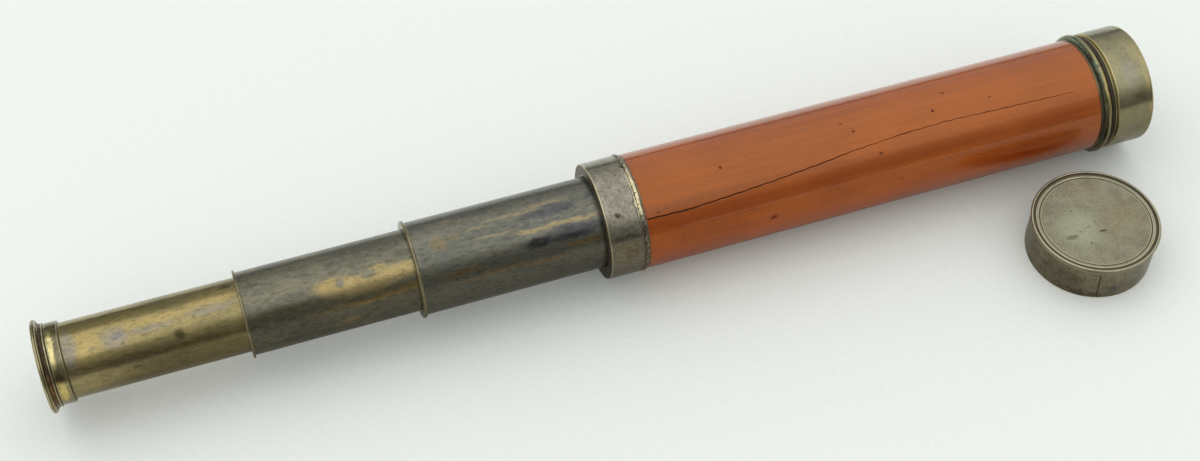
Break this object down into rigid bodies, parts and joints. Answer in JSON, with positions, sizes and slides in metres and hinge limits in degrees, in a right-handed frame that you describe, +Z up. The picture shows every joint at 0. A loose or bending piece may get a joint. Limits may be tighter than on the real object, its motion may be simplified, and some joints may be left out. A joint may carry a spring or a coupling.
{
  "type": "three-draw hand telescope",
  "caption": "Three-draw brass hand telescope with a mahogany barrel, partly drawn out and lying on its side, with its round objective cap standing beside it.",
  "frame": {"origin": "under the middle of the whole object, on the surface that it lies on", "axes": "+X along the telescope from the eyepiece to the objective, +Z up, +Y away from the side where the cap stands"},
  "size_m": [0.4876, 0.1178, 0.0541],
  "materials": {
    "optical_glass": "polished",
    "mahogany": "gloss shellac over reddish mahogany",
    "ferrule_brass": "dull grey-brown patina",
    "steel_pins": "dark oxidised",
    "inner_brass": "satin",
    "verdigris_brass": "aged with green verdigris in the grooves",
    "cell_brass": "pale olive patina, satin",
    "blackened_brass": "blackened",
    "draw_1_brass": "golden brown with tarnish",
    "draw_2_brass": "grey-brown tarnish with golden patches",
    "draw_3_brass": "dark grey-green tarnish with golden streaks",
    "guide_brass": "worn grey-brown",
    "bright_brass": "worn bright, tarnish in the grooves",
    "cap_disc_brass": "pale grey-olive patina, spotted",
    "cap_skirt_brass": "dark grey-brown patina"
  },
  "bodies": {
    "barrel": {"barrel_ferrule": "ferrule_brass", "barrel_guide": "inner_brass", "barrel_wood": "mahogany", "ferrule_pins": "steel_pins", "mount_screws": "steel_pins", "objective_cell": "cell_brass", "objective_front_lens": "optical_glass", "objective_mount": "verdigris_brass", "objective_rear_lens": "optical_glass", "objective_retaining_ring": "blackened_brass"},
    "draw_3": {"draw_3_guide": "guide_brass", "draw_3_stop_collar": "inner_brass", "draw_3_tube": "draw_3_brass"},
    "draw_2": {"draw_2_guide": "guide_brass", "draw_2_stop_collar": "inner_brass", "draw_2_tube": "draw_2_brass"},
    "draw_1": {"draw_1_stop_collar": "inner_brass", "draw_1_tube": "draw_1_brass", "erector_front_lens": "optical_glass", "erector_front_ring": "blackened_brass", "erector_mount": "inner_brass", "erector_rear_lens": "optical_glass", "erector_rear_ring": "blackened_brass", "erector_stop": "blackened_brass", "erector_tube": "inner_brass", "eye_lens": "optical_glass", "eye_lens_seat": "blackened_brass", "eye_plate": "bright_brass", "eyepiece_housing": "bright_brass", "field_lens": "optical_glass", "field_lens_ring": "blackened_brass", "ocular_field_stop": "blackened_brass", "ocular_tube": "inner_brass", "shutter_pivot": "steel_pins"},
    "eye_shutter": {"shutter_knob": "bright_brass", "shutter_leaf": "bright_brass"},
    "objective_cap": {"cap_disc": "cap_disc_brass", "cap_skirt": "cap_skirt_brass"}
  },
  "joints": [
    {"name": "draw_3_slide", "type": "slide", "parent": "barrel", "child": "draw_3", "axis": [-1, 0, 0], "range_m": [-0.0788, 0.093]},
    {"name": "draw_2_slide", "type": "slide", "parent": "draw_3", "child": "draw_2", "axis": [-1, 0, 0], "range_m": [-0.0704, 0.0985]},
    {"name": "draw_1_slide", "type": "slide", "parent": "draw_2", "child": "draw_1", "axis": [-1, 0, 0], "range_m": [-0.0713, 0.0945]},
    {"name": "eye_shutter_swivel", "type": "hinge", "parent": "draw_1", "child": "eye_shutter", "pos_m": [-0.23625, 0.03189, 0.03704], "axis": [1, 0, 0], "range_deg": [0, 55]},
    {"name": "cap_lift", "type": "slide", "parent": "barrel", "child": "objective_cap", "axis": [0, 0, 1], "range_m": [0, 0.08]}
  ]
}
